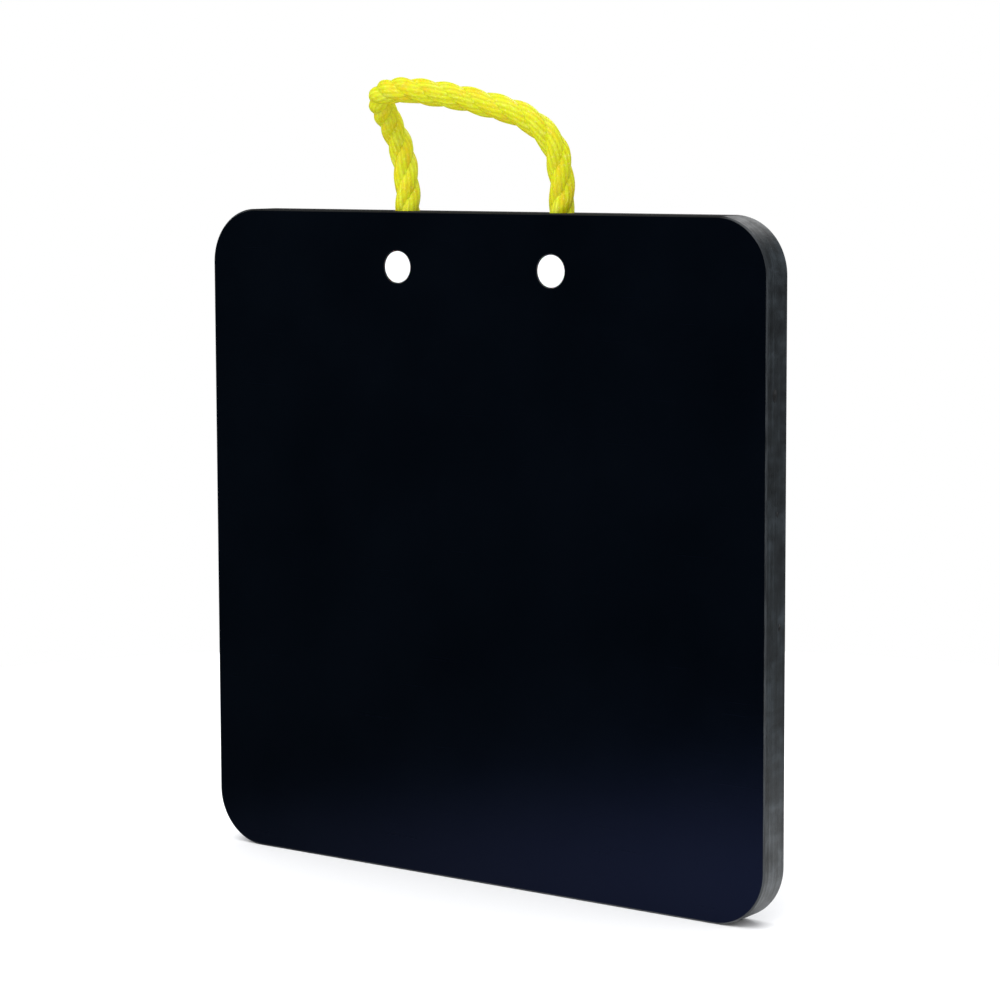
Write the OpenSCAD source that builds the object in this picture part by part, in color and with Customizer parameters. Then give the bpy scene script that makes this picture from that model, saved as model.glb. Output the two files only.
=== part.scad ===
// Square outrigger pad with a rope handle.
// The pad stands on its bottom edge. X runs across it, Y through its thickness, Z up.
// The origin is the middle of the bottom edge, and the load face looks along -Y.

/* [Pad] */
// Width and height of the square pad
pad_w = 457.2; // [300:0.1:600]
// Thickness of the pad
pad_t = 25.4; // [25.4:0.1:50.8]
// Radius of the four corners of the outline
corner_r = 38.1; // [20:0.1:60]
// Chamfer that breaks the long edges
edge_break = 1; // [0.5:0.1:2]

/* [Handle holes] */
// Distance between the two cross holes
hole_spacing = 127; // [90:1:180]
// Distance from the top edge down to the centres of the cross holes
hole_setback = 38.1; // [38:0.1:45]
// Diameter of the cross holes, which run through the thickness
cross_d = 22; // [21.5:0.1:23]
// Chamfer on the rims of the cross holes
cross_break = 0.5; // [0.2:0.1:1]
// Diameter of the bores that run down from the top edge into the cross holes
bore_d = 18.5; // [18.5:0.1:19]
// Chamfer at the mouths of the bores
mouth_break = 1.2; // [0.5:0.1:2]

/* [Rope] */
// Diameter of the slack rope, across the crowns of its strands
rope_d = 18; // [14:0.5:18]
// Diameter of the melted neck that joins each leg of the rope to its knob
neck_d = 16; // [12:0.5:16]
// Diameter of the melted knob at each end of the rope
knob_d = 20.2; // [19.5:0.1:20.2]
// Length of the melted knob, through the thickness of the pad
knob_l = 15; // [10:0.5:15]

/* [Hole plugs] */
// Depth of the plugs' faces below the faces of the pad
plug_sink = 0.3; // [0.1:0.1:0.5]
// Overall depth of a plug, from its face to the end of its skirt
plug_l = 4.2; // [3:0.1:4.5]
// Thickness of a plug's face
plug_face_t = 2; // [1:0.1:2.5]
// Wall thickness of a plug's skirt
plug_wall = 1.6; // [1:0.1:2]
// Gap between a plug's skirt and the wall of its hole
plug_gap = 0.15; // [0.1:0.05:0.3]
// Overlap of the plug's crush rings with the wall of the hole
crush = 0.1; // [0.05:0.05:0.15]
// Width of each crush ring
crush_w = 0.6; // [0.4:0.1:0.8]

/* [Hidden] */
LEFT = -1;
RIGHT = 1;
FRONT = -1;
BACK = 1;
PAD_COLOUR = [0.02, 0.02, 0.025];
PLUG_COLOUR = [0.95, 0.95, 0.95];
ROPE_COLOUR = [0.93, 0.88, 0.05];
overrun = 1;
// Gap between the flat ends of neighbouring lengths of rope
seam = 0.02;
corner_at = pad_w / 2 - corner_r;
hole_x = hole_spacing / 2;
hole_z = pad_w - hole_setback;
plug_r = cross_d / 2 - plug_gap;
crush_r = cross_d / 2 + crush;

// Centreline of the rope, from the left knob to the right one, as drawn for holes 127 mm apart.
// X is across the pad, Y is towards its back and Z is up from its top edge.
route_span = 127;
route_points = [
    [-63.5, 0, -26.5], [-63.5, 0, -14], [-63.5, 0, 0], [-64.5, 1, 14], [-66.5, 1.5, 27.5],
    [-69.5, 1, 41.5], [-73, -3, 54.5], [-73.5, -11, 65.5], [-70, -21, 73.5], [-61, -29, 79],
    [-47.5, -34, 81], [-33, -35, 81], [-18.5, -32, 79], [-5, -28, 77], [9, -24, 74],
    [22.5, -21, 70.5], [36, -18, 67], [48.5, -14.5, 61], [58.5, -10.5, 52], [64.5, -7, 40.5],
    [65.5, -4, 27.5], [65, -1, 14], [63.5, 0, 0], [63.5, 0, -14], [63.5, 0, -26.5]
];
route = [for (p = route_points) [p.x * hole_spacing / route_span, p.y, pad_w + p.z]];
rope_sides = 12;
last = len(route) - 1;
// Numbers of the route's points at which a leg, at the bottom, gives way to a bend and then to the loop
leg_end = 3;
bend_end = 5;

function unit(v) = v / norm(v);

// Direction of the route at one of its points
function along(i) = unit(route[min(i + 1, last)] - route[max(i - 1, 0)]);

// Corners of the rope's cross-section at one of the route's points, moved along it by a shift
function ring(i, shift) =
    let (t = along(i), u = unit(cross(t, [0, 1, 0])), v = cross(t, u))
    [for (k = [0 : rope_sides - 1])
        let (a = 360 * k / rope_sides)
        route[i] + shift * t + rope_d / 2 * (cos(a) * u + sin(a) * v)];

// Solid rope between two of the route's points
module rope_between(first, final) {
    rings = final - first;
    corners = [for (i = [first : final])
        each ring(i, i == first ? seam / 2 : i == final ? -seam / 2 : 0)];
    walls = [for (i = [0 : rings - 1], k = [0 : rope_sides - 1])
        let (next = (k + 1) % rope_sides, here = i * rope_sides, there = here + rope_sides)
        each [[here + k, there + k, there + next], [here + k, there + next, here + next]]];
    bottom = [for (k = [0 : rope_sides - 1]) k];
    top = [for (k = [rope_sides - 1 : -1 : 0]) rings * rope_sides + k];
    color(ROPE_COLOUR) polyhedron(corners, concat(walls, [bottom, top]));
}

// Section of the pad across a width of twice half_w, with its four edges broken
module pad_section(half_w) {
    half_t = pad_t / 2;
    polygon([
        [-half_w, edge_break - half_t], [edge_break - half_w, -half_t],
        [half_w - edge_break, -half_t], [half_w, edge_break - half_t],
        [half_w, half_t - edge_break], [half_w - edge_break, half_t],
        [edge_break - half_w, half_t], [-half_w, half_t - edge_break]
    ]);
}

// One round corner of the pad, as a disc with broken edges
module pad_corner() {
    rotate_extrude($fn = 180)
        intersection() {
            pad_section(corner_r);
            translate([0, -pad_t]) square([corner_r + overrun, 2 * pad_t]);
        }
}

// Pad before drilling: two crossed slabs that fill the outline between four corner discs
module pad_blank() {
    translate([0, 0, corner_r])
        linear_extrude(pad_w - 2 * corner_r) pad_section(pad_w / 2);
    translate([-corner_at, 0, pad_w / 2])
        rotate([90, 0, 90])
            linear_extrude(pad_w - 2 * corner_r) rotate(90) pad_section(pad_w / 2);
    for (x = [-corner_at, corner_at], z = [corner_r, pad_w - corner_r])
        translate([x, 0, z]) rotate([90, 0, 0]) pad_corner();
}

// Cross hole and the bore that meets it, for the left or the right leg of the rope
module handle_holes(side) {
    translate([side * hole_x, 0, hole_z])
        rotate([90, 0, 0]) {
            cylinder(d = cross_d, h = pad_t + 2 * overrun, center = true, $fn = 96);
            for (turn = [0, 180])
                rotate([turn, 0, 0])
                    translate([0, 0, pad_t / 2 - cross_break])
                        cylinder(d1 = cross_d, d2 = cross_d + 2 * (cross_break + overrun),
                                 h = cross_break + overrun, $fn = 96);
        }
    translate([side * hole_x, 0, hole_z])
        cylinder(d = bore_d, h = hole_setback + overrun, $fn = 96);
    translate([side * hole_x, 0, pad_w - mouth_break])
        cylinder(d1 = bore_d, d2 = bore_d + 2 * (mouth_break + overrun),
                 h = mouth_break + overrun, $fn = 96);
}

module pad() {
    color(PAD_COLOUR)
        difference() {
            pad_blank();
            for (side = [LEFT, RIGHT]) handle_holes(side);
        }
}

// Push-in plug that closes one end of a cross hole
module plug(side, face) {
    color(PLUG_COLOUR)
        translate([side * hole_x, face * (pad_t / 2 - plug_sink), hole_z])
            rotate([face * 90, 0, 0])
                rotate_extrude($fn = 96)
                    polygon([
                        [0, 0], [plug_r - cross_break, 0], [plug_r, cross_break],
                        [plug_r, plug_face_t - crush_w], [crush_r, plug_face_t - crush_w / 2],
                        [plug_r, plug_face_t], [plug_r, plug_l - 2 * crush_w],
                        [crush_r, plug_l - 1.5 * crush_w], [plug_r, plug_l - crush_w],
                        [plug_r - plug_gap, plug_l], [plug_r - plug_wall, plug_l],
                        [plug_r - plug_wall, plug_face_t], [0, plug_face_t]
                    ]);
}

// Melted end of the rope: a barrel in the cross hole, and the neck that joins it to the leg
module rope_knob(side) {
    neck_top = pad_w + route_points[0].z;
    color(ROPE_COLOUR)
        union() {
            translate([side * hole_x, 0, hole_z])
                rotate([90, 0, 0])
                    cylinder(d = knob_d, h = knob_l, center = true, $fn = 96);
            translate([side * hole_x, 0, hole_z])
                cylinder(d = neck_d, h = neck_top - hole_z, $fn = 96);
        }
}

module plug_front_left() { plug(LEFT, FRONT); }
module plug_front_right() { plug(RIGHT, FRONT); }
module plug_back_left() { plug(LEFT, BACK); }
module plug_back_right() { plug(RIGHT, BACK); }
module rope_knob_left() { rope_knob(LEFT); }
module rope_knob_right() { rope_knob(RIGHT); }
module rope_leg_left() { rope_between(0, leg_end); }
module rope_leg_right() { rope_between(last - leg_end, last); }
module rope_bend_left() { rope_between(leg_end, bend_end); }
module rope_bend_right() { rope_between(last - bend_end, last - leg_end); }
module rope_loop() { rope_between(bend_end, last - bend_end); }

pad();
plug_front_left();
plug_front_right();
plug_back_left();
plug_back_right();
rope_knob_left();
rope_knob_right();
rope_leg_left();
rope_leg_right();
rope_bend_left();
rope_bend_right();
rope_loop();
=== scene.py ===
"""Square outrigger pad with a rope handle, in metres, in the frame of its CAD model.

The pad stands on its bottom edge: X runs across it, Y through its thickness and Z up.
Its load face looks along -Y. The pad, its plugs, the rope and the rope's melted knobs
are each built here as meshes with procedural materials.
"""

import math
import random

import bmesh
import bpy
import numpy as np
from mathutils import Matrix, Vector


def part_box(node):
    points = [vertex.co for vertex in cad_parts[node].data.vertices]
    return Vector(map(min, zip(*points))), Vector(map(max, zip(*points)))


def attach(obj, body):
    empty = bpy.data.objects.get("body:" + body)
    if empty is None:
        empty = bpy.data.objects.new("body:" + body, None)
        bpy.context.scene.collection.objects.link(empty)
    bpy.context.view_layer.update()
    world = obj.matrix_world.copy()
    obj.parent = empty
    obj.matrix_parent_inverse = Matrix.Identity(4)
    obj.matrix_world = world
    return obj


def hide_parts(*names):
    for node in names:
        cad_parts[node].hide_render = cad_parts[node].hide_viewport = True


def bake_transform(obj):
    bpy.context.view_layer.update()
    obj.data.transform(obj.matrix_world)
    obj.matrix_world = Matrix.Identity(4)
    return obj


MM = 0.001
TAU = 2 * math.pi

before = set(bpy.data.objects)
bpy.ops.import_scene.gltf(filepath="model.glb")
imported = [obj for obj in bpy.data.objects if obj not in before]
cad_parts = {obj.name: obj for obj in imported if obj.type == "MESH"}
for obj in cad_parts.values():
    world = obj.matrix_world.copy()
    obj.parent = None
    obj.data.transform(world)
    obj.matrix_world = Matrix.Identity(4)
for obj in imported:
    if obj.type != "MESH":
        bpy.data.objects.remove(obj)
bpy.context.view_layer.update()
scene = bpy.context.scene

# ---------------------------------------------------------------- sizes, from the frame

PAD_LOW, PAD_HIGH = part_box("pad")
PAD_W = PAD_HIGH.x - PAD_LOW.x
PAD_T = PAD_HIGH.y - PAD_LOW.y
PAD_TOP = PAD_HIGH.z
HALF_T = PAD_T / 2
CORNER_R = 38.1 * MM
EDGE_BREAK = 1.0 * MM
PLUG_LOW, PLUG_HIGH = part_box("plug_front_right")
HOLE_X = (PLUG_LOW.x + PLUG_HIGH.x) / 2
HOLE_Z = (PLUG_LOW.z + PLUG_HIGH.z) / 2
CROSS_R = 11.0 * MM
CROSS_BREAK = 0.5 * MM
BORE_R = 9.25 * MM
MOUTH_BREAK = 1.2 * MM
ROUND_STEPS = 96
# Knocks in the right-hand edge, as (place across the edge, height, radius), how deep each
# one is as a share of its radius, and how it is stretched along the edge and across it
KNOCKS_MM = [(-3.2, 344, 3.4), (4.4, 195, 1.9), (1.0, 268, 1.4)]
KNOCK_DEPTH = 0.45
KNOCK_STRETCH = (1.25, 0.8)
PLUG_SINK = 0.3 * MM
KNOB_LOW, KNOB_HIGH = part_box("rope_knob_right")

# ---------------------------------------------------------------- camera

CAMERA_AT = Vector((1.18123, -1.63309, 0.50724))
CAMERA_TO = Vector((0.01319, 0.0, 0.30373))
CAMERA_ROLL = math.radians(-0.189)
CAMERA_LENS = 107.707
CAMERA_SHIFT = -0.06


def make_camera():
    """Camera at the photograph's angle, turned slightly about its own axis."""
    data = bpy.data.cameras.new("camera")
    data.sensor_width = 36.0
    data.lens = CAMERA_LENS
    data.shift_y = CAMERA_SHIFT
    data.clip_start, data.clip_end = 0.05, 100.0
    camera = bpy.data.objects.new("camera", data)
    scene.collection.objects.link(camera)
    forward = (CAMERA_TO - CAMERA_AT).normalized()
    right = forward.cross(Vector((0, 0, 1))).normalized()
    up = right.cross(forward)
    right_rolled = right * math.cos(CAMERA_ROLL) + up * math.sin(CAMERA_ROLL)
    up_rolled = up * math.cos(CAMERA_ROLL) - right * math.sin(CAMERA_ROLL)
    turn = Matrix((right_rolled, up_rolled, -forward)).transposed().to_4x4()
    camera.matrix_world = Matrix.Translation(CAMERA_AT) @ turn
    scene.camera = camera


make_camera()

# ---------------------------------------------------------------- mesh helpers


def add_mesh(name, points, faces, body, material):
    """A new smooth piece from points and faces, riding on a body where one is named."""
    mesh = bpy.data.meshes.new(name)
    mesh.from_pydata([tuple(p) for p in points], [], faces)
    mesh.validate()
    mesh.update()
    piece = bpy.data.objects.new(name, mesh)
    scene.collection.objects.link(piece)
    mesh.materials.append(material)
    mesh.polygons.foreach_set("use_smooth", [True] * len(mesh.polygons))
    if body:
        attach(piece, body)
    return piece


def loft(rings):
    """Points and faces of a closed tube through rings that all have the same number of
    points."""
    count = len(rings[0])
    points = [p for ring in rings for p in ring]
    faces = []
    for i in range(len(rings) - 1):
        here, there = i * count, (i + 1) * count
        for k in range(count):
            after = (k + 1) % count
            faces.append((here + k, here + after, there + after, there + k))
    faces.append(tuple(range(count - 1, -1, -1)))
    faces.append(tuple(range((len(rings) - 1) * count, len(rings) * count)))
    return points, faces


def wobble(seed, low, high, waves=5):
    """A smooth random function of one number, from -1 to 1, the same on each run. It sums
    waves whose rates lie between low and high."""
    draw = random.Random(seed)
    terms = [(draw.uniform(low, high), draw.uniform(0, TAU)) for _ in range(waves)]
    return lambda t: sum(math.sin(f * t + p) for f, p in terms) / waves


def lathe(profile, centre, axis_out):
    """Points and faces of a solid turned about a line along Y, through centre. profile lists
    (radius, depth) from the middle of one end round to the middle of the other, and depth
    runs against axis_out, which is -1 or 1."""
    points, faces, rows = [], [], []
    for radius, depth in profile:
        if radius == 0:
            rows.append([len(points)])
            points.append((centre.x, centre.y - axis_out * depth, centre.z))
            continue
        rows.append(list(range(len(points), len(points) + ROUND_STEPS)))
        for k in range(ROUND_STEPS):
            a = TAU * k / ROUND_STEPS
            points.append((
                centre.x + radius * math.cos(a),
                centre.y - axis_out * depth,
                centre.z + radius * math.sin(a),
            ))
    for here, there in zip(rows, rows[1:]):
        for k in range(ROUND_STEPS):
            after = (k + 1) % ROUND_STEPS
            corners = [
                here[k % len(here)], here[after % len(here)],
                there[after % len(there)], there[k % len(there)],
            ]
            face = list(dict.fromkeys(corners))
            faces.append(tuple(face if axis_out > 0 else reversed(face)))
    return points, faces


# ---------------------------------------------------------------- material helpers

# Sockets of the Mix node when it mixes colours
MIX_FACTOR, MIX_A, MIX_B, MIX_RESULT = 0, 6, 7, 2


class Shader:
    """A node material built step by step, around one Principled shader."""

    def __init__(self, name, **fixed):
        self.material = bpy.data.materials.new(name)
        self.material.use_nodes = True
        self.tree = self.material.node_tree
        self.principled = self.tree.nodes["Principled BSDF"]
        for socket, value in fixed.items():
            self.principled.inputs[socket.replace("_", " ")].default_value = value

    def node(self, kind, **settings):
        made = self.tree.nodes.new(kind)
        for key, value in settings.items():
            setattr(made, key, value)
        return made

    def link(self, source, target):
        self.tree.links.new(source, target)

    def mapped(self, vector, scale, turn=(0, 0, 0)):
        """A vector turned and stretched."""
        mapping = self.node("ShaderNodeMapping")
        mapping.inputs["Rotation"].default_value = turn
        mapping.inputs["Scale"].default_value = scale
        self.link(vector, mapping.inputs["Vector"])
        return mapping.outputs["Vector"]

    def coordinates(self, scale=(1, 1, 1), turn=(0, 0, 0)):
        """Texture coordinates in metres, turned and stretched."""
        place = self.node("ShaderNodeTexCoord")
        return self.mapped(place.outputs["Object"], scale, turn)

    def noise(self, vector, scale, detail=3.0, roughness=0.55, distortion=0.0):
        made = self.node("ShaderNodeTexNoise")
        made.inputs["Scale"].default_value = scale
        made.inputs["Detail"].default_value = detail
        made.inputs["Roughness"].default_value = roughness
        made.inputs["Distortion"].default_value = distortion
        self.link(vector, made.inputs["Vector"])
        return made.outputs["Fac"]

    def ramp(self, value, stops, interpolation="LINEAR"):
        """A colour ramp. stops lists (position, colour), where a colour may be one grey."""
        made = self.node("ShaderNodeValToRGB")
        made.color_ramp.interpolation = interpolation
        elements = made.color_ramp.elements
        while len(elements) < len(stops):
            elements.new(0.5)
        for element, (position, colour) in zip(elements, stops):
            element.position = position
            grey = isinstance(colour, (int, float))
            element.color = (colour, colour, colour, 1) if grey else (*colour, 1)
        self.link(value, made.inputs["Fac"])
        return made.outputs["Color"]

    def math(self, operation, *values):
        made = self.node("ShaderNodeMath", operation=operation)
        for socket, value in zip(made.inputs, values):
            if isinstance(value, (int, float)):
                socket.default_value = value
            else:
                self.link(value, socket)
        return made.outputs[0]

    def shared(self, a, share, b):
        """The sum of a, taken for its share, and b, taken for the rest."""
        part = self.math("MULTIPLY", a, share)
        rest = self.math("MULTIPLY", b, 1 - share)
        return self.math("ADD", part, rest)

    def mix(self, factor, a, b, blend="MIX"):
        made = self.node("ShaderNodeMix", data_type="RGBA", blend_type=blend)
        for index, value in ((MIX_FACTOR, factor), (MIX_A, a), (MIX_B, b)):
            socket = made.inputs[index]
            if isinstance(value, (int, float)):
                socket.default_value = value
            elif isinstance(value, tuple):
                socket.default_value = (*value, 1)
            else:
                self.link(value, socket)
        return made.outputs[MIX_RESULT]

    def bump(self, height, distance, strength, normal=None):
        made = self.node("ShaderNodeBump")
        made.inputs["Strength"].default_value = strength
        made.inputs["Distance"].default_value = distance
        self.link(height, made.inputs["Height"])
        if normal is not None:
            self.link(normal, made.inputs["Normal"])
        return made.outputs["Normal"]

    def near_top(self, start, end):
        """0 lower than start below the pad's top and 1 higher than end below it."""
        place = self.node("ShaderNodeSeparateXYZ")
        self.link(self.coordinates(), place.inputs["Vector"])
        made = self.node("ShaderNodeMapRange")
        made.inputs["From Min"].default_value = PAD_TOP - start
        made.inputs["From Max"].default_value = PAD_TOP - end
        self.link(place.outputs["Z"], made.inputs["Value"])
        return made.outputs["Result"]

    def set(self, socket, value):
        self.link(value, self.principled.inputs[socket])


# ---------------------------------------------------------------- materials

# Painted shade: colour and roughness for a strip along the pad's top edge and its chamfers
TOP_PAINTED_SHADE = (0.0015, 0.002, 0.0025)
TOP_ROUGH = (0.8, 0.8, 0.8)
# Direction in radians and thinness of the two sets of scuffs on the faces
SCUFFS = [(0.5, 240.0), (-0.9, 180.0)]


def pad_face_material():
    """Polished black sheet: faint cloudy tone, hairline scuffs and a few pale specks."""
    shader = Shader("pad_face", Specular_IOR_Level=0.2)
    shader.principled.inputs["Specular Tint"].default_value = (0.22, 0.3, 1.0, 1)
    fine = shader.coordinates()
    clouds = shader.noise(fine, 9.0, detail=4.0)
    colour = shader.ramp(clouds, [
        (0.35, (0.0004, 0.0011, 0.0017)), (0.7, (0.0009, 0.0018, 0.0027)),
    ])
    specks = shader.node("ShaderNodeTexVoronoi", feature="F1")
    specks.inputs["Scale"].default_value = 14.0
    shader.link(fine, specks.inputs["Vector"])
    speck = shader.ramp(specks.outputs["Distance"], [(0.0, 1.0), (0.022, 0.0)])
    chosen = shader.noise(fine, 23.0, detail=0.0)
    speck = shader.math("MULTIPLY", speck, shader.ramp(chosen, [(0.56, 0.0), (0.6, 1.0)]))
    shader.set("Base Color", shader.mix(speck, colour, (0.09, 0.1, 0.11)))
    scuffs = []
    for angle, thinness in SCUFFS:
        lines = shader.coordinates((4.0, 4.0, thinness), turn=(0, angle, 0))
        scratched = shader.noise(lines, 3.0, detail=2.0)
        scuffs.append(shader.ramp(scratched, [(0.7, 0.0), (0.76, 1.0)]))
    scuff = shader.math("MAXIMUM", *scuffs)
    polish = shader.math("MULTIPLY_ADD", clouds, 0.08, 0.17)
    shader.set("Roughness", shader.math("MULTIPLY_ADD", scuff, 0.1, polish))
    press = shader.noise(fine, 26.0, detail=2.0)
    pressed = shader.bump(press, 0.00025, 0.25)
    shader.set("Normal", shader.bump(scuff, 0.00002, 0.4, pressed))
    return shader.material


def pad_edge_material():
    """Planed edge: satin grey black, with fine lines along it and cloudy patches of chatter.
    The photograph shows the top one almost black; along the top it is painted almost black and
    rough, as painted shade."""
    shader = Shader("pad_edge", Specular_IOR_Level=0.5)
    fine = shader.noise(shader.coordinates((9, 2600, 9)), 1.0, detail=5.0, roughness=0.7)
    broad = shader.noise(shader.coordinates((5, 420, 5)), 1.0, detail=2.0)
    blotch = shader.noise(shader.coordinates(), 48.0, detail=5.0, roughness=0.6)
    chatter = shader.noise(shader.coordinates((170, 60, 170)), 1.0, detail=2.0)
    streaks = shader.shared(fine, 0.5, broad)
    clouds = shader.shared(blotch, 0.7, chatter)
    mixed = shader.shared(streaks, 0.45, clouds)
    colour = shader.ramp(mixed, [
        (0.38, (0.006, 0.008, 0.0095)), (0.5, (0.017, 0.0215, 0.0245)),
        (0.62, (0.042, 0.052, 0.060)),
    ])
    # Painted shade: from 0.35 mm below the top upwards the edge is painted almost black and rough
    top = shader.near_top(0.35 * MM, 0.1 * MM)
    shader.set("Base Color", shader.mix(top, colour, TOP_PAINTED_SHADE))
    satin = shader.ramp(mixed, [(0.38, 0.56), (0.62, 0.36)])
    shader.set("Roughness", shader.mix(top, satin, TOP_ROUGH))
    lined = shader.bump(fine, 0.00018, 0.7)
    shader.set("Normal", shader.bump(clouds, 0.0009, 0.35, lined))
    return shader.material


def pad_rim_material():
    """Broken edge between face and planed side: black, glossy where the scraper slid along
    it, and painted almost black and rough along the top, as painted shade."""
    shader = Shader("pad_rim", Specular_IOR_Level=0.5)
    streaks = shader.noise(shader.coordinates((60, 1800, 60)), 1.0, detail=4.0)
    colour = shader.ramp(streaks, [
        (0.35, (0.010, 0.012, 0.014)), (0.7, (0.035, 0.042, 0.048)),
    ])
    # Painted shade: from 1.4 mm below the top upwards the chamfer is painted almost black and
    # rough
    top = shader.near_top(1.4 * MM, 1.05 * MM)
    shader.set("Base Color", shader.mix(top, colour, TOP_PAINTED_SHADE))
    satin = shader.ramp(streaks, [(0.35, 0.3), (0.65, 0.46)])
    shader.set("Roughness", shader.mix(top, satin, TOP_ROUGH))
    shader.set("Normal", shader.bump(streaks, 0.00008, 0.5))
    return shader.material


def bore_material():
    """Drilled wall: dull black with fine rings left by the drill."""
    shader = Shader("drilled_wall", Specular_IOR_Level=0.4)
    rings = shader.noise(shader.coordinates((15, 900, 900)), 1.0, detail=3.0)
    shader.set("Base Color", shader.ramp(rings, [
        (0.3, (0.006, 0.007, 0.008)), (0.7, (0.02, 0.022, 0.024)),
    ]))
    shader.set("Roughness", shader.ramp(rings, [(0.3, 0.45), (0.7, 0.62)]))
    shader.set("Normal", shader.bump(rings, 0.0001, 0.5))
    return shader.material


def plug_material():
    """White moulded polyethylene: nearly even, faintly waxy, with a little handling grime."""
    shader = Shader("white_plug", Subsurface_Weight=0.15, Subsurface_Scale=0.001)
    fine = shader.coordinates()
    cloud = shader.noise(fine, 160.0, detail=3.0)
    grime = shader.ramp(shader.noise(fine, 420.0, detail=5.0), [(0.62, 0.0), (0.78, 1.0)])
    colour = shader.ramp(cloud, [(0.3, (0.84, 0.845, 0.84)), (0.7, (0.89, 0.89, 0.885))])
    faint = shader.math("MULTIPLY", grime, 0.15)
    shader.set("Base Color", shader.mix(faint, colour, (0.6, 0.6, 0.57)))
    shader.set("Roughness", shader.ramp(cloud, [(0.3, 0.34), (0.7, 0.46)]))
    shader.set("Normal", shader.bump(shader.noise(fine, 900.0, detail=2.0), 0.00004, 0.35))
    return shader.material


def rope_material():
    """Twisted film yarn: saturated yellow, with painted shade in ochre between strands and yarns
    and in the dips between tufts, pale painted highlights on the tufts, and sheen along the
    fibres.
    """
    shader = Shader(
        "yellow_rope", Sheen_Weight=0.02, Sheen_Roughness=0.4, Specular_IOR_Level=0.25,
        Subsurface_Weight=0.2, Subsurface_Scale=0.002,
    )
    shader.principled.inputs["Sheen Tint"].default_value = (1.0, 0.97, 0.5, 1)
    # Painted shade between strands and yarns, stored on the rope's points
    depth = shader.node("ShaderNodeAttribute", attribute_name="groove_shade").outputs["Fac"]
    yarn = shader.node("ShaderNodeAttribute", attribute_name="tint").outputs["Fac"]
    weave = shader.node("ShaderNodeUVMap", uv_map="fibre").outputs["UV"]
    fibres = shader.noise(shader.mapped(weave, (90, 6, 1)), 1.0, detail=4.0, roughness=0.7)
    patches = shader.noise(shader.coordinates(), 130.0, detail=3.0)
    sunny = shader.ramp(shader.shared(patches, 0.6, yarn), [
        (0.34, (0.68, 0.53, 0.001)), (0.44, (0.68, 0.64, 0.001)), (0.56, (0.63, 0.70, 0.001)),
        (0.7, (0.68, 0.70, 0.05)),
    ])
    threads = shader.ramp(fibres, [(0.3, (0.74, 0.74, 0.6)), (0.55, (1.0, 1.0, 1.0))])
    mottle = shader.noise(shader.mapped(weave, (30, 26, 1)), 1.0, detail=3.0, roughness=0.65)
    # Painted highlight: pale cream on the raised tufts of the mottle
    pale = shader.ramp(mottle, [(0.55, 0.0), (0.68, 0.55)])
    # Painted shade: deeper ochre in the dips between the tufts
    deep = shader.ramp(mottle, [(0.32, 0.6), (0.44, 0.0)])
    sunny = shader.mix(pale, sunny, (0.76, 0.75, 0.22))
    sunny = shader.mix(deep, sunny, (0.60, 0.48, 0.001))
    lit = shader.mix(0.7, sunny, threads, "MULTIPLY")
    # Painted shade: the colour goes ochre where that painted shade is strong
    shader.set("Base Color", shader.mix(depth, lit, (0.42, 0.34, 0.001)))
    shader.set("Roughness", shader.ramp(fibres, [(0.3, 0.5), (0.7, 0.3)]))
    tufted = shader.bump(mottle, 0.0006, 0.5)
    shader.set("Normal", shader.bump(fibres, 0.0003, 0.7, tufted))
    return shader.material


def melted_material():
    """Melted rope end: amber and brown, smooth with scorched patches."""
    shader = Shader("melted_rope_end", Specular_IOR_Level=0.5)
    fine = shader.coordinates()
    scorch = shader.noise(fine, 260.0, detail=5.0, distortion=0.6)
    shader.set("Base Color", shader.ramp(scorch, [
        (0.32, (0.12, 0.05, 0.008)), (0.48, (0.5, 0.33, 0.02)), (0.66, (0.78, 0.66, 0.03)),
    ]))
    shader.set("Roughness", shader.ramp(scorch, [(0.3, 0.5), (0.7, 0.25)]))
    shader.set("Normal", shader.bump(shader.noise(fine, 700.0), 0.0001, 0.5))
    return shader.material


# The pad's materials, in the order of the slots on its mesh
PAD_MATERIALS = [pad_face_material(), pad_edge_material(), bore_material(), pad_rim_material()]
FACE, EDGE, WALL, RIM = range(4)
WHITE = plug_material()
YELLOW = rope_material()
MELTED = melted_material()

# ---------------------------------------------------------------- rope

# Centreline in mm from the left knob to the right one: X across the pad, Y towards its back
# and Z up from its top edge. It is the route in the CAD source.
ROUTE_MM = [
    (-63.5, 0, -26.5), (-63.5, 0, -14), (-63.5, 0, 0), (-64.5, 1, 14), (-66.5, 1.5, 27.5),
    (-69.5, 1, 41.5), (-73, -3, 54.5), (-73.5, -11, 65.5), (-70, -21, 73.5), (-61, -29, 79),
    (-47.5, -34, 81), (-33, -35, 81), (-18.5, -32, 79), (-5, -28, 77), (9, -24, 74),
    (22.5, -21, 70.5), (36, -18, 67), (48.5, -14.5, 61), (58.5, -10.5, 52), (64.5, -7, 40.5),
    (65.5, -4, 27.5), (65, -1, 14), (63.5, 0, 0), (63.5, 0, -14), (63.5, 0, -26.5),
]
ROPE_D = 18.0 * MM
STRANDS = 3
STRAND_R = 6.4 * MM
STRAND_AT = ROPE_D / 2 - STRAND_R
STRAND_SWELL = 0.04
# Length of one turn of the strands, how uneven it is, and where it is tighter
LAY = 58.0 * MM
LAY_UNEVEN = 0.22
TIGHT_LAY = 38.0 * MM
TIGHT_AT = 100.0 * MM
TIGHT_OVER = 32.0 * MM
# Yarns on a strand: depth and shape of the grooves between them, how far one may stand
# proud, how far all of them are sunk as a share of that, and turns round the strand for
# each turn of the strands
YARNS = 12
YARN_DEPTH = 0.65 * MM
YARN_ROUND = 0.4
YARN_RISE = 0.35 * MM
YARN_SUNK = 0.4
YARN_TURNS = 1.35
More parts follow.
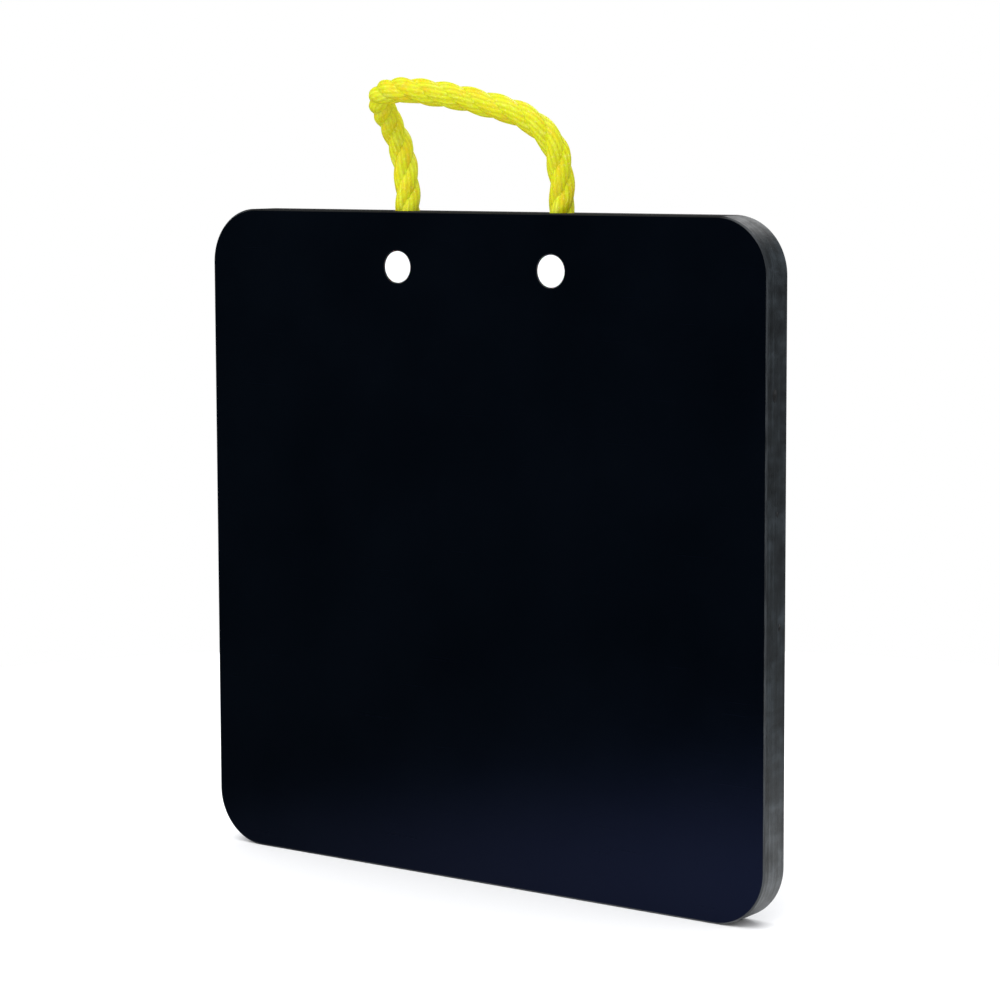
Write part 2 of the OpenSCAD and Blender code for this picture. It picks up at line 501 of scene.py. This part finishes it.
# A strand gets painted shade towards its neighbours from this share of its exposed half onwards;
# SHADE is its strength there and GAP_SHADE that of the painted shade between yarns
SHADE_FROM = 0.66
SHADE = 0.45
GAP_SHADE = 1.1
RING_STEP = 0.9 * MM
POINTS_PER_STRAND = 68
FIRST_STRAND = math.radians(-14)


def smooth_line(points, per_span=16):
    """A cubic B-spline that passes through every point."""
    given = np.array(points, float)
    count = len(given)
    weights = np.eye(count)
    for i in range(1, count - 1):
        weights[i, i - 1 : i + 2] = (1 / 6, 4 / 6, 1 / 6)
    control = np.linalg.solve(weights, given)
    control = np.vstack([2 * control[0] - control[1], control, 2 * control[-1] - control[-2]])
    line = []
    for i in range(1, count):
        for t in np.arange(per_span) / per_span:
            basis = np.array([
                (1 - t) ** 3, 3 * t**3 - 6 * t**2 + 4, -3 * t**3 + 3 * t**2 + 3 * t + 1, t**3,
            ]) / 6
            line.append(basis @ control[i - 1 : i + 3])
    line.append(given[-1])
    return np.array(line)


def spaced_out(line, step):
    """The same line, with its points an even distance apart, and the distance along it."""
    along = np.concatenate([[0], np.cumsum(np.linalg.norm(np.diff(line, axis=0), axis=1))])
    at = np.linspace(0, along[-1], int(along[-1] / step) + 1)
    return np.stack([np.interp(at, along, line[:, k]) for k in range(3)], axis=1), at


def frames_along(line):
    """For each point, two directions across the line that turn as little as they can."""
    tangents = np.gradient(line, axis=0)
    tangents /= np.linalg.norm(tangents, axis=1)[:, None]
    across = np.cross(tangents[0], (0, 1, 0))
    frames = []
    for tangent in tangents:
        across = across - tangent * (across @ tangent)
        across /= np.linalg.norm(across)
        frames.append((across, np.cross(tangent, across)))
    return frames


def twist_along(along):
    """How far the strands have turned at each distance: faster at the first bend, where the
    rope is wound up tighter, and uneven elsewhere."""
    uneven = wobble(8, waves=4, low=15, high=60)
    tight = np.exp(-(((along - TIGHT_AT) / TIGHT_OVER) ** 2))
    loose = LAY * (1 + LAY_UNEVEN * np.array([uneven(distance) for distance in along]))
    lay = loose + (TIGHT_LAY - loose) * tight
    steps = np.diff(along, prepend=0) / lay
    return FIRST_STRAND + TAU * np.cumsum(steps)


def uneven_yarns():
    """For each strand, how far each of its yarns stands proud along the rope."""
    proud = []
    for strand in range(STRANDS):
        first_seed = 100 + 20 * strand
        proud.append([wobble(first_seed + yarn, low=30, high=170) for yarn in range(YARNS)])
    return proud


def rope_surface(line, along):
    """Rings of points round the line and, for each point, how much painted shade it gets between
    strands and yarns, its yarn's tint, and its place round the strand and along the rope."""
    frames = frames_along(line)
    turns = twist_along(along)
    cusp = STRAND_AT * math.sin(TAU / 2 / STRANDS)
    cusp_angle = math.pi - math.asin(cusp / STRAND_R)
    swell = wobble(4, low=40, high=240)
    proud = uneven_yarns()
    rings, groove_shades, tints, fibre = [], [], [], []
    for centre, distance, turn, (u, v) in zip(line, along, turns, frames):
        ring = []
        for strand in range(STRANDS):
            lean = turn + TAU * strand / STRANDS
            own = 1 + STRAND_SWELL * swell(distance + strand)
            standing = [height(distance) for height in proud[strand]]
            for k in range(POINTS_PER_STRAND):
                a = cusp_angle * (2 * (k + 0.5) / POINTS_PER_STRAND - 1)
                yarn = YARNS * (a + YARN_TURNS * turn) / TAU
                crown = abs(math.sin(math.pi * yarn)) ** YARN_ROUND
                rise = standing[int(math.floor(yarn)) % YARNS]
                radius = STRAND_R * own - YARN_DEPTH * (1 - crown)
                radius += YARN_RISE * crown * (rise - YARN_SUNK)
                x = STRAND_AT * math.cos(lean) + radius * math.cos(lean + a)
                y = STRAND_AT * math.sin(lean) + radius * math.sin(lean + a)
                limit = min(1.0, ROPE_D / 2 / math.hypot(x, y))
                ring.append(centre + (u * x + v * y) * limit)
                # Painted shade: darker towards the strand's sides and in the dips between yarns
                edge = max(0.0, (abs(a) / cusp_angle - SHADE_FROM) / (1 - SHADE_FROM))
                groove_shades.append(min(1.0, SHADE * edge**2 + GAP_SHADE * (1 - crown)))
                tints.append(0.5 + 0.5 * rise)
                fibre.append((yarn / YARNS + strand, distance / LAY))
        rings.append(ring)
    return rings, groove_shades, tints, fibre


def make_rope():
    """Three strands laid right-handed round the route, each with twisted yarns on its surface."""
    route = np.array(ROUTE_MM) * MM + (0, 0, PAD_TOP)
    line, along = spaced_out(smooth_line(route), RING_STEP)
    rings, groove_shades, tints, fibre = rope_surface(line, along)
    points, faces = loft(rings)
    rope = add_mesh("rope", points, faces, None, YELLOW)
    mesh = rope.data
    for name, values in (("groove_shade", groove_shades), ("tint", tints)):
        mesh.attributes.new(name, "FLOAT", "POINT").data.foreach_set("value", values)
    layer = mesh.uv_layers.new(name="fibre")
    corners = [fibre[loop.vertex_index] for loop in mesh.loops]
    layer.data.foreach_set("uv", [value for pair in corners for value in pair])
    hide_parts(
        "rope_leg_left", "rope_leg_right", "rope_bend_left", "rope_bend_right", "rope_loop",
    )
    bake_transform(rope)


KNOB_ROWS, KNOB_COLUMNS = 26, 56
KNOB_LUMPS = 0.03
NECK_R = 8.0 * MM
# The barrel is drawn in to the neck between these heights, as shares of its radius
NECK_FROM, NECK_TO = 0.35, 0.85


def make_knob(side_name, side):
    """Melted end of the rope: a lumpy barrel across the hole, drawn up into a neck."""
    centre = Vector((side * HOLE_X, 0, HOLE_Z))
    half_length = (KNOB_HIGH.y - KNOB_LOW.y) / 2
    barrel_r = (KNOB_HIGH.x - KNOB_LOW.x) / 2
    neck_top = KNOB_HIGH.z - HOLE_Z
    lump = wobble(11 + side, waves=6, low=1, high=6)
    rings = []
    for i in range(1, KNOB_ROWS):
        t = i / KNOB_ROWS
        height = -barrel_r + (barrel_r + neck_top) * t
        level = height / barrel_r
        girth = math.sqrt(max(0.0, 1 - min(1.0, level) ** 2))
        wide = barrel_r * girth
        deep = half_length * girth ** 0.5
        pull = min(1.0, max(0.0, (level - NECK_FROM) / (NECK_TO - NECK_FROM)))
        wide = max(wide, NECK_R * pull)
        held = min(deep, NECK_R) if pull < 1 else 0
        deep = min(half_length, max(deep * (1 - pull), held, NECK_R * pull))
        ring = []
        for k in range(KNOB_COLUMNS):
            a = TAU * k / KNOB_COLUMNS
            skin = 1 - KNOB_LUMPS * (1 + lump(a * 2 + 5 * t)) * (1 - pull)
            ring.append((
                centre.x + wide * skin * math.cos(a),
                centre.y + deep * skin * math.sin(a),
                centre.z + height,
            ))
        rings.append(ring)
    points, faces = loft(rings)
    knob = add_mesh("melted_end_" + side_name, points, faces, "board", MELTED)
    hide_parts("rope_knob_" + side_name)
    return knob


KNOBS = {"left": make_knob("left", -1), "right": make_knob("right", 1)}
make_rope()

# ---------------------------------------------------------------- plugs


def make_plug(face_name, face, side_name, side):
    """Push-in plug with a rounded rim, a shallow dish and two crush rings on its skirt."""
    outer, crush, wall = 10.85 * MM, 11.1 * MM, 1.6 * MM
    face_t, length = 2.0 * MM, 4.2 * MM
    rim = 0.45 * MM
    rim_steps = 6
    profile = [(0, 0.10 * MM), (4.0 * MM, 0.09 * MM), (7.5 * MM, 0.05 * MM), (9.2 * MM, 0.01 * MM)]
    for step in range(rim_steps + 1):
        a = math.pi / 2 * step / rim_steps
        profile.append((outer - rim + rim * math.sin(a), rim - rim * math.cos(a)))
    profile += [
        (outer, face_t - 0.6 * MM), (crush - 0.05 * MM, face_t - 0.4 * MM),
        (crush, face_t - 0.3 * MM), (crush - 0.05 * MM, face_t - 0.2 * MM),
        (outer, face_t), (outer, length - 1.2 * MM),
        (crush, length - 0.9 * MM), (outer, length - 0.6 * MM), (outer - 0.15 * MM, length),
        (outer - wall, length), (outer - wall - 0.1 * MM, face_t + 0.3 * MM),
        (outer - wall - 0.4 * MM, face_t), (0, face_t),
    ]
    centre = Vector((side * HOLE_X, face * (HALF_T - PLUG_SINK), HOLE_Z))
    points, faces = lathe(profile, centre, face)
    name = f"hole_plug_{face_name}_{side_name}"
    plug = add_mesh(name, points, faces, "board", WHITE)
    plug.data.set_sharp_from_angle(angle=math.radians(35))
    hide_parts(f"plug_{face_name}_{side_name}")


for face_name, face in (("front", -1), ("back", 1)):
    for side_name, side in (("left", -1), ("right", 1)):
        make_plug(face_name, face, side_name, side)

# ---------------------------------------------------------------- pad

CORNER_STEPS = 28
SIDE_STEPS = 36
EDGE_ROWS = 34


def outline(inset):
    """Points round the pad's outline, moved in by inset, as (x, z), anticlockwise seen from
    -Y."""
    half = PAD_W / 2 - CORNER_R
    radius = CORNER_R - inset
    points = []
    for quarter, (sx, sz) in enumerate(((1, 1), (-1, 1), (-1, -1), (1, -1))):
        centre = Vector((sx * half, PAD_W / 2 + sz * half))
        for i in range(CORNER_STEPS + 1):
            angle = TAU / 4 * (quarter + i / CORNER_STEPS)
            points.append(centre + radius * Vector((math.cos(angle), math.sin(angle))))
        corner_end = points[-1]
        onward = Vector((-math.sin(angle), math.cos(angle)))
        for i in range(1, SIDE_STEPS):
            points.append(corner_end + onward * 2 * half * i / SIDE_STEPS)
    return points


def edge_profile():
    """(inset, y) from the front face to the back one: soft chamfers and fine planing lines."""
    draw = random.Random(7)
    soft = 0.12 * MM
    front = [
        (EDGE_BREAK + soft, -HALF_T),
        (EDGE_BREAK - 0.6 * soft, -HALF_T + 0.35 * soft),
        (EDGE_BREAK - 1.6 * soft, -HALF_T + 1.2 * soft),
        (1.2 * soft, -HALF_T + EDGE_BREAK - 1.6 * soft),
        (0.35 * soft, -HALF_T + EDGE_BREAK - 0.6 * soft),
        (0, -HALF_T + EDGE_BREAK + soft),
    ]
    back = [(inset, -y) for inset, y in reversed(front)]
    low, high = front[-1][1], back[0][1]
    rows = []
    for i in range(1, EDGE_ROWS):
        y = low + (high - low) * (i + draw.uniform(-0.25, 0.25)) / EDGE_ROWS
        depth = draw.choice((0.0, 0.01, 0.02, 0.03, 0.06)) * MM
        rows.append((depth, y))
    return front + rows + back


def closed_mesh(name, rings):
    """A closed mesh through rings, with a slot for each of the pad's materials."""
    points, faces = loft(rings)
    mesh = bpy.data.meshes.new(name)
    mesh.from_pydata(points, [], faces)
    for material in PAD_MATERIALS:
        mesh.materials.append(material)
    return mesh


def slab():
    """The undrilled pad as a closed mesh."""
    rings = []
    for inset, y in edge_profile():
        rings.append([(p.x, y, p.y) for p in outline(inset)])
    mesh = closed_mesh("pad_body", rings)
    for polygon in mesh.polygons:
        if len(polygon.vertices) > 4:
            polygon.material_index = FACE
        elif abs(polygon.center.y) > HALF_T - EDGE_BREAK:
            polygon.material_index = RIM
        else:
            polygon.material_index = EDGE
    mesh.update()
    return mesh


def drill(name, profile, place, turn):
    """A drill shape turned about Z from (radius, height) pairs, with the wall's material."""
    angles = [TAU * k / ROUND_STEPS for k in range(ROUND_STEPS)]
    rings = []
    for radius, height in profile:
        rings.append([(radius * math.cos(a), radius * math.sin(a), height) for a in angles])
    mesh = closed_mesh(name, rings)
    for polygon in mesh.polygons:
        polygon.material_index = WALL
    mesh.transform(Matrix.Translation(place) @ turn)
    tool = bpy.data.objects.new(name, mesh)
    scene.collection.objects.link(tool)
    return tool


def drills():
    """The two cross holes with broken rims, the two bores with chamfered mouths, and the
    bowls of the knocks."""
    over = 1.0 * MM
    rim = CROSS_BREAK + over
    cross = [
        (CROSS_R + rim, -HALF_T - over), (CROSS_R, -HALF_T + CROSS_BREAK),
        (CROSS_R, HALF_T - CROSS_BREAK), (CROSS_R + rim, HALF_T + over),
    ]
    mouth = MOUTH_BREAK + over
    bore = [
        (BORE_R, HOLE_Z), (BORE_R, PAD_TOP - MOUTH_BREAK - 0.15 * MM),
        (BORE_R + 0.08 * MM, PAD_TOP - MOUTH_BREAK), (BORE_R + mouth, PAD_TOP + over),
    ]
    lying = Matrix.Rotation(math.radians(90), 4, "X")
    tools = []
    for side in (-1, 1):
        tools.append(drill("cross_drill", cross, Vector((side * HOLE_X, 0, HOLE_Z)), lying))
        tools.append(drill("bore_drill", bore, Vector((side * HOLE_X, 0, 0)), Matrix.Identity(4)))
    facing = Matrix.Rotation(math.radians(90), 4, "Y") @ Matrix.Diagonal((*KNOCK_STRETCH, 1, 1))
    for y, z, radius_mm in KNOCKS_MM:
        radius = radius_mm * MM
        bowl = []
        for share in (0.03, 0.25, 0.5, 0.75):
            bowl.append((radius * share, -KNOCK_DEPTH * radius * (1 - share**2)))
        bowl += [(radius, 0), (radius, over)]
        tools.append(drill("knock", bowl, Vector((PAD_HIGH.x, y * MM, z * MM)), facing))
    return tools


def make_pad():
    """The slab, drilled, with true round holes and one smooth normal on each flat face."""
    pad = bpy.data.objects.new("pad_body", slab())
    scene.collection.objects.link(pad)
    tools = drills()
    for tool in tools:
        cut = pad.modifiers.new(tool.name, "BOOLEAN")
        cut.operation, cut.solver, cut.object = "DIFFERENCE", "EXACT", tool
    bpy.context.view_layer.update()
    depsgraph = bpy.context.evaluated_depsgraph_get()
    drilled = bpy.data.meshes.new_from_object(pad.evaluated_get(depsgraph))
    pad.modifiers.clear()
    pad.data = drilled
    for tool in tools:
        bpy.data.objects.remove(tool)
    drilled.polygons.foreach_set("use_smooth", [True] * len(drilled.polygons))
    drilled.set_sharp_from_angle(angle=math.radians(12))
    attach(pad, "board")
    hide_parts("pad")


make_pad()

# ---------------------------------------------------------------- floor, light and world

FLOOR_R = 0.95
FLOOR_TONE = (0.93, 0.93, 0.935)
# Pools of floor that show in the pad's reflections, as (middle, radius at full strength,
# radius where it has faded, strength), and the strength of the rest of the floor there
REFLECTED = [
    ((0.30, 0.12, 0), 0.05, 0.33, 1.0), ((0.25, -0.05, 0), 0.08, 0.62, 1.0),
    ((0.75, -0.3, 0), 0.2, 0.45, 1.0),
]
REFLECTED_REST = 0.02
# Lights as (name, place, aim, size, power)
LIGHTS = [
    ("key", (0.5, -1.7, 2.4), (0, 0, 0.3), (1.8, 1.4), 25),
    ("top", (0.5, 0.2, 2.6), (0, 0, 0.2), (1.8, 1.8), 16),
    ("fill", (-1.9, -1.8, 1.9), (0, 0, 0.4), (1.4, 1.4), 25),
    ("back", (-0.4, 2.2, 2.0), (0, 0, 0.4), (1.6, 1.0), 17),
]
AMBIENT = (1.06, 1.07, 1.09, 1)
REFLECTED_WALLS = (0.03, 0.032, 0.038, 1)
BACKDROP = (1.0, 1.0, 1.0, 1)


def make_floor():
    """Plain pale floor, which fades out with distance in the pad's polished face."""
    shader = Shader("floor", Roughness=0.9, Specular_IOR_Level=0.1)
    place = shader.node("ShaderNodeTexCoord")
    pools = []
    for middle, inner, outer, level in REFLECTED:
        reach = shader.node("ShaderNodeVectorMath", operation="DISTANCE")
        reach.inputs[1].default_value = middle
        shader.link(place.outputs["Object"], reach.inputs[0])
        stops = [(inner, level), (outer, REFLECTED_REST)]
        pools.append(shader.ramp(reach.outputs["Value"], stops, "EASE"))
    path = shader.node("ShaderNodeLightPath")
    near = shader.mix(1.0, pools[0], shader.mix(1.0, pools[1], pools[2], "LIGHTEN"), "LIGHTEN")
    shader.set("Base Color", shader.mix(path.outputs["Is Glossy Ray"], FLOOR_TONE, near))
    mesh = bpy.data.meshes.new("floor")
    made = bmesh.new()
    bmesh.ops.create_circle(made, cap_ends=True, segments=128, radius=FLOOR_R)
    made.to_mesh(mesh)
    made.free()
    mesh.materials.append(shader.material)
    floor = bpy.data.objects.new("floor", mesh)
    scene.collection.objects.link(floor)


def make_light(name, place, aim, size, power):
    """A plain white area light."""
    data = bpy.data.lights.new(name, "AREA")
    data.shape = "RECTANGLE"
    data.size, data.size_y = size
    data.energy = power
    light = bpy.data.objects.new(name, data)
    scene.collection.objects.link(light)
    light.location = place
    light.rotation_euler = (Vector(aim) - Vector(place)).to_track_quat("-Z", "Y").to_euler()


def make_world():
    """White where the camera looks past the object, pale where it lights the object, and
    dark in its reflections."""
    world = bpy.data.worlds.new("studio")
    scene.world = world
    world.use_nodes = True
    nodes, links = world.node_tree.nodes, world.node_tree.links
    background = nodes["Background"]
    path = nodes.new("ShaderNodeLightPath")
    seen = nodes.new("ShaderNodeMix")
    seen.data_type = "RGBA"
    seen.inputs[MIX_A].default_value = AMBIENT
    seen.inputs[MIX_B].default_value = BACKDROP
    links.new(path.outputs["Is Camera Ray"], seen.inputs[MIX_FACTOR])
    reflected = nodes.new("ShaderNodeMix")
    reflected.data_type = "RGBA"
    reflected.inputs[MIX_B].default_value = REFLECTED_WALLS
    links.new(path.outputs["Is Glossy Ray"], reflected.inputs[MIX_FACTOR])
    links.new(seen.outputs[MIX_RESULT], reflected.inputs[MIX_A])
    links.new(reflected.outputs[MIX_RESULT], background.inputs["Color"])


make_floor()
for light in LIGHTS:
    make_light(*light)
make_world()
scene.view_settings.view_transform = "Standard"
scene.view_settings.look = "None"
